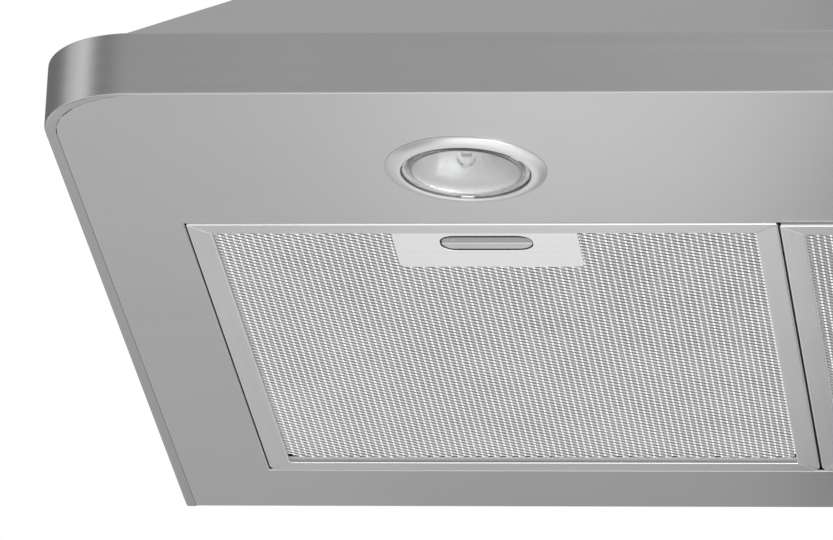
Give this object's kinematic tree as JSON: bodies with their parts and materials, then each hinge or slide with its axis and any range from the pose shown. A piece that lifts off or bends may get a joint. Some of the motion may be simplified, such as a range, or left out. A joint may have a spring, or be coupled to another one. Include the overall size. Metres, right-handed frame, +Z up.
{
  "type": "wall mount range hood",
  "caption": "Wall mount range hood with a round-cornered band, sloping canopy, tilting mesh filters with sprung latches, round lamps, a blower, and a telescoping chimney cover.",
  "frame": {"origin": "middle of the wall rail's two screw holes, in the plane of the wall", "axes": "+X to the right for a person who faces the hood, +Y into the wall, +Z up"},
  "size_m": [0.896, 0.5035, 0.6972],
  "materials": {
    "brushed_steel": "brushed",
    "zinc_steel": "zinc plated",
    "fastener_steel": "plated",
    "filter_aluminium": "satin",
    "latch_steel": "satin",
    "lamp_chrome": "polished",
    "lamp_glass": "clear",
    "ceramic": "glazed",
    "button_plastic": "satin",
    "dark_plastic": "matt",
    "motor_can": "satin",
    "capacitor_can": "satin"
  },
  "bodies": {
    "hood": {"canopy_shell": "brushed_steel", "bottom_panel": "brushed_steel", "back_plate": "zinc_steel", "hanger_bar": "zinc_steel", "wall_rail": "zinc_steel", "filter_rail_front": "zinc_steel", "filter_rail_rear": "zinc_steel", "blower_plate": "zinc_steel", "blower_screws": "fastener_steel", "blower_half_left": "zinc_steel", "blower_half_right": "zinc_steel", "motor": "motor_can", "motor_bracket": "zinc_steel", "duct_collar": "dark_plastic", "damper_pins": "fastener_steel", "junction_box": "dark_plastic", "capacitor": "capacitor_can", "cord_gland": "dark_plastic", "control_fascia": "brushed_steel", "switch_block": "dark_plastic", "chimney_lower": "brushed_steel", "lamp_left_bezel": "lamp_chrome", "lamp_left_lens": "lamp_glass", "lamp_left_reflector": "lamp_chrome", "lamp_left_bulb": "lamp_glass", "lamp_left_holder": "ceramic", "lamp_right_bezel": "lamp_chrome", "lamp_right_lens": "lamp_glass", "lamp_right_reflector": "lamp_chrome", "lamp_right_bulb": "lamp_glass", "lamp_right_holder": "ceramic"},
    "filter_left": {"filter_left_frame": "filter_aluminium", "filter_left_face_mesh": "filter_aluminium", "filter_left_core": "filter_aluminium", "filter_left_latch_plate": "filter_aluminium", "filter_left_latch_spring": "latch_steel"},
    "latch_left": {"filter_left_latch_slide": "latch_steel"},
    "filter_middle": {"filter_middle_frame": "filter_aluminium", "filter_middle_face_mesh": "filter_aluminium", "filter_middle_core": "filter_aluminium", "filter_middle_latch_plate": "filter_aluminium", "filter_middle_latch_spring": "latch_steel"},
    "latch_middle": {"filter_middle_latch_slide": "latch_steel"},
    "filter_right": {"filter_right_frame": "filter_aluminium", "filter_right_face_mesh": "filter_aluminium", "filter_right_core": "filter_aluminium", "filter_right_latch_plate": "filter_aluminium", "filter_right_latch_spring": "latch_steel"},
    "latch_right": {"filter_right_latch_slide": "latch_steel"},
    "button_off_body": {"button_off": "button_plastic"},
    "button_low_body": {"button_low": "button_plastic"},
    "button_mid_body": {"button_mid": "button_plastic"},
    "button_high_body": {"button_high": "button_plastic"},
    "button_light_body": {"button_light": "button_plastic"},
    "fan": {"impeller": "dark_plastic", "motor_shaft": "fastener_steel"},
    "damper_front": {"damper_flap_front": "dark_plastic"},
    "damper_rear": {"damper_flap_rear": "dark_plastic"},
    "chimney_top": {"chimney_upper": "brushed_steel", "ceiling_bracket": "zinc_steel"}
  },
  "joints": [
    {"name": "filter_left_hinge", "type": "hinge", "parent": "hood", "child": "filter_left", "pos_m": [-0.2669, -0.05095, -0.1644], "axis": [1, 0, 0], "range_deg": [0, 60]},
    {"name": "latch_left_slide", "type": "slide", "parent": "filter_left", "child": "latch_left", "axis": [0, 1, 0], "range_m": [0, 0.005], "stiffness_N_per_m": 500, "springref_m": -0.004, "deforming": ["filter_left_latch_spring"]},
    {"name": "filter_middle_hinge", "type": "hinge", "parent": "hood", "child": "filter_middle", "pos_m": [0, -0.05095, -0.1644], "axis": [1, 0, 0], "range_deg": [0, 60]},
    {"name": "latch_middle_slide", "type": "slide", "parent": "filter_middle", "child": "latch_middle", "axis": [0, 1, 0], "range_m": [0, 0.005], "stiffness_N_per_m": 500, "springref_m": -0.004, "deforming": ["filter_middle_latch_spring"]},
    {"name": "filter_right_hinge", "type": "hinge", "parent": "hood", "child": "filter_right", "pos_m": [0.2669, -0.05095, -0.1644], "axis": [1, 0, 0], "range_deg": [0, 60]},
    {"name": "latch_right_slide", "type": "slide", "parent": "filter_right", "child": "latch_right", "axis": [0, 1, 0], "range_m": [0, 0.005], "stiffness_N_per_m": 500, "springref_m": -0.004, "deforming": ["filter_right_latch_spring"]},
    {"name": "button_off_press", "type": "slide", "parent": "hood", "child": "button_off_body", "axis": [0, 1, 0], "range_m": [0, 0.0025], "stiffness_N_per_m": 700, "springref_m": -0.001},
    {"name": "button_low_press", "type": "slide", "parent": "hood", "child": "button_low_body", "axis": [0, 1, 0], "range_m": [0, 0.0025], "stiffness_N_per_m": 700, "springref_m": -0.001},
    {"name": "button_mid_press", "type": "slide", "parent": "hood", "child": "button_mid_body", "axis": [0, 1, 0], "range_m": [0, 0.0025], "stiffness_N_per_m": 700, "springref_m": -0.001},
    {"name": "button_high_press", "type": "slide", "parent": "hood", "child": "button_high_body", "axis": [0, 1, 0], "range_m": [0, 0.0025], "stiffness_N_per_m": 700, "springref_m": -0.001},
    {"name": "button_light_press", "type": "slide", "parent": "hood", "child": "button_light_body", "axis": [0, 1, 0], "range_m": [0, 0.0025], "stiffness_N_per_m": 700, "springref_m": -0.001},
    {"name": "fan_spin", "type": "hinge", "parent": "hood", "child": "fan", "pos_m": [0, -0.115, -0.015], "axis": [1, 0, 0], "continuous": true},
    {"name": "damper_front_hinge", "type": "hinge", "parent": "hood", "child": "damper_front", "pos_m": [0, -0.1285, 0.1234], "axis": [-1, 0, 0], "range_deg": [0, 80]},
    {"name": "damper_rear_hinge", "type": "hinge", "parent": "hood", "child": "damper_rear", "pos_m": [0, -0.1215, 0.1234], "axis": [1, 0, 0], "range_deg": [0, 80]},
    {"name": "chimney_slide", "type": "slide", "parent": "hood", "child": "chimney_top", "axis": [0, 0, 1], "range_m": [0, 0.3]}
  ]
}
